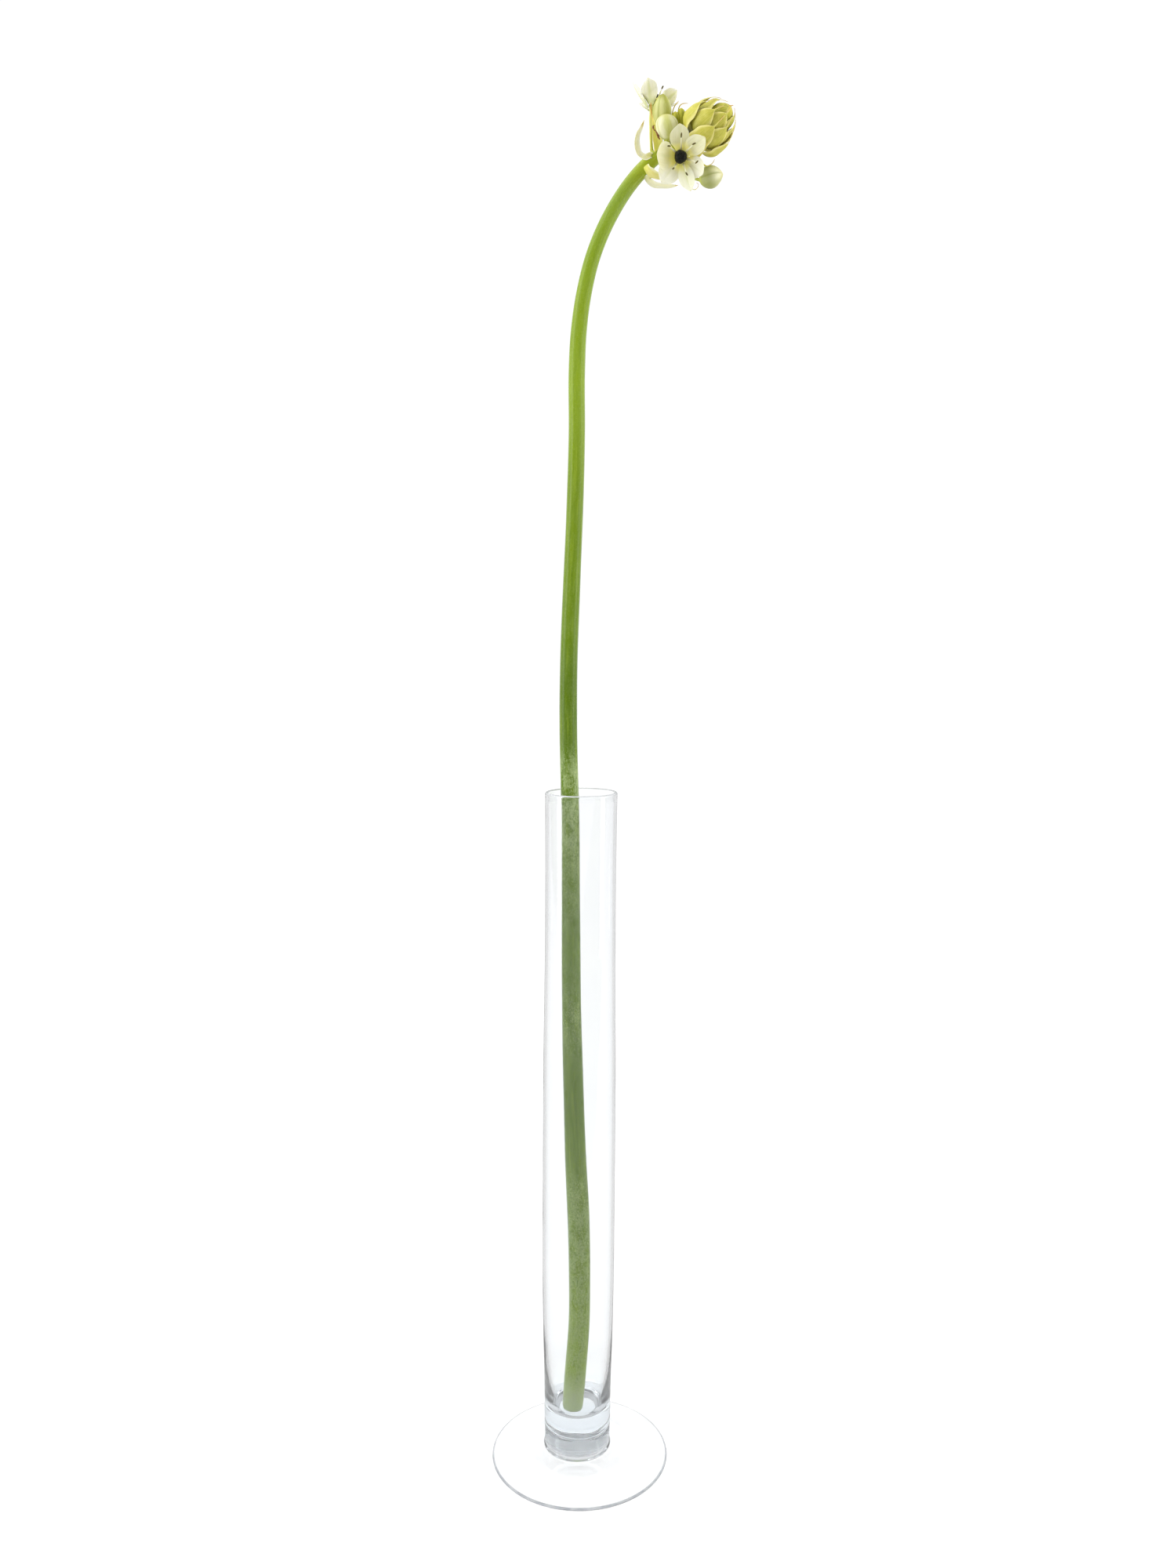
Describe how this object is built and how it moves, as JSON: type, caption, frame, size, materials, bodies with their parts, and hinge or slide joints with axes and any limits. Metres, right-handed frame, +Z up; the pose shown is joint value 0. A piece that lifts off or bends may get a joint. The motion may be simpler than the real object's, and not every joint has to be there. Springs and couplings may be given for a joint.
{
  "type": "cut flower in a bud vase",
  "caption": "Cut stem of star of Bethlehem with open white flowers and a nodding cone of green buds, standing in a slim footed clear glass bud vase.",
  "frame": {"origin": "centre of the underside of the vase's foot, on the surface it stands on", "axes": "+Z up along the vase; +X to the side that the flower head nods over to; -Y towards the viewer of the picture"},
  "size_m": [0.1184, 0.0914, 0.6867],
  "materials": {
    "clear_glass": "clear",
    "stem_green": "satin",
    "pedicel_green": "satin",
    "tepal_cream": "satin",
    "ovary_black": "gloss",
    "stamen_olive": "matte",
    "bud_green_cream": "satin",
    "young_bud_green": "satin",
    "bract_green": "satin",
    "bract_cream": "matte",
    "bract_brown": "matte"
  },
  "bodies": {
    "root": {"awned_bract_left": "bract_green", "awned_bract_right": "bract_green", "back_flower_ovary": "ovary_black", "back_flower_pedicel": "pedicel_green", "back_flower_stamens": "stamen_olive", "back_flower_tepal_1": "tepal_cream", "back_flower_tepal_2": "tepal_cream", "back_flower_tepal_3": "tepal_cream", "back_flower_tepal_4": "tepal_cream", "back_flower_tepal_5": "tepal_cream", "back_flower_tepal_6": "tepal_cream", "brown_tipped_bract": "bract_cream", "cone_bract_01": "bract_green", "cone_bract_02": "bract_green", "cone_bract_03": "bract_green", "cone_bract_04": "bract_green", "cone_bract_05": "bract_green", "cone_bract_06": "bract_green", "cone_bract_07": "bract_green", "cone_bract_08": "bract_green", "cone_bract_09": "bract_green", "cone_bract_10": "bract_green", "cone_bract_11": "bract_green", "cone_bract_12": "bract_green", "cone_bract_13": "bract_green", "cone_bract_14": "bract_green", "cone_bract_15": "bract_green", "cone_bract_16": "bract_green", "cone_bract_17": "bract_green", "cone_tip_bud": "young_bud_green", "curled_cream_bract": "bract_cream", "dried_curl": "bract_brown", "front_flower_ovary": "ovary_black", "front_flower_pedicel": "pedicel_green", "front_flower_stamen_1": "stamen_olive", "front_flower_stamen_2": "stamen_olive", "front_flower_stamen_3": "stamen_olive", "front_flower_stamen_4": "stamen_olive", "front_flower_stamen_5": "stamen_olive", "front_flower_stamen_6": "stamen_olive", "front_flower_tepal_1": "tepal_cream", "front_flower_tepal_2": "tepal_cream", "front_flower_tepal_3": "tepal_cream", "front_flower_tepal_4": "tepal_cream", "front_flower_tepal_5": "tepal_cream", "front_flower_tepal_6": "tepal_cream", "hidden_bud_lower": "bud_green_cream", "hidden_bud_upper": "bud_green_cream", "lower_boat_bract": "bract_cream", "lower_right_bract": "bract_green", "lower_right_bud": "bud_green_cream", "lower_right_small_bract": "bract_green", "round_cream_bud": "bud_green_cream", "scape": "stem_green", "small_yellow_bract": "bract_green", "tall_striped_bud": "bud_green_cream", "upper_boat_bract": "bract_cream", "vase": "clear_glass", "young_bud_left": "young_bud_green", "young_bud_right": "young_bud_green"}
  },
  "joints": []
}
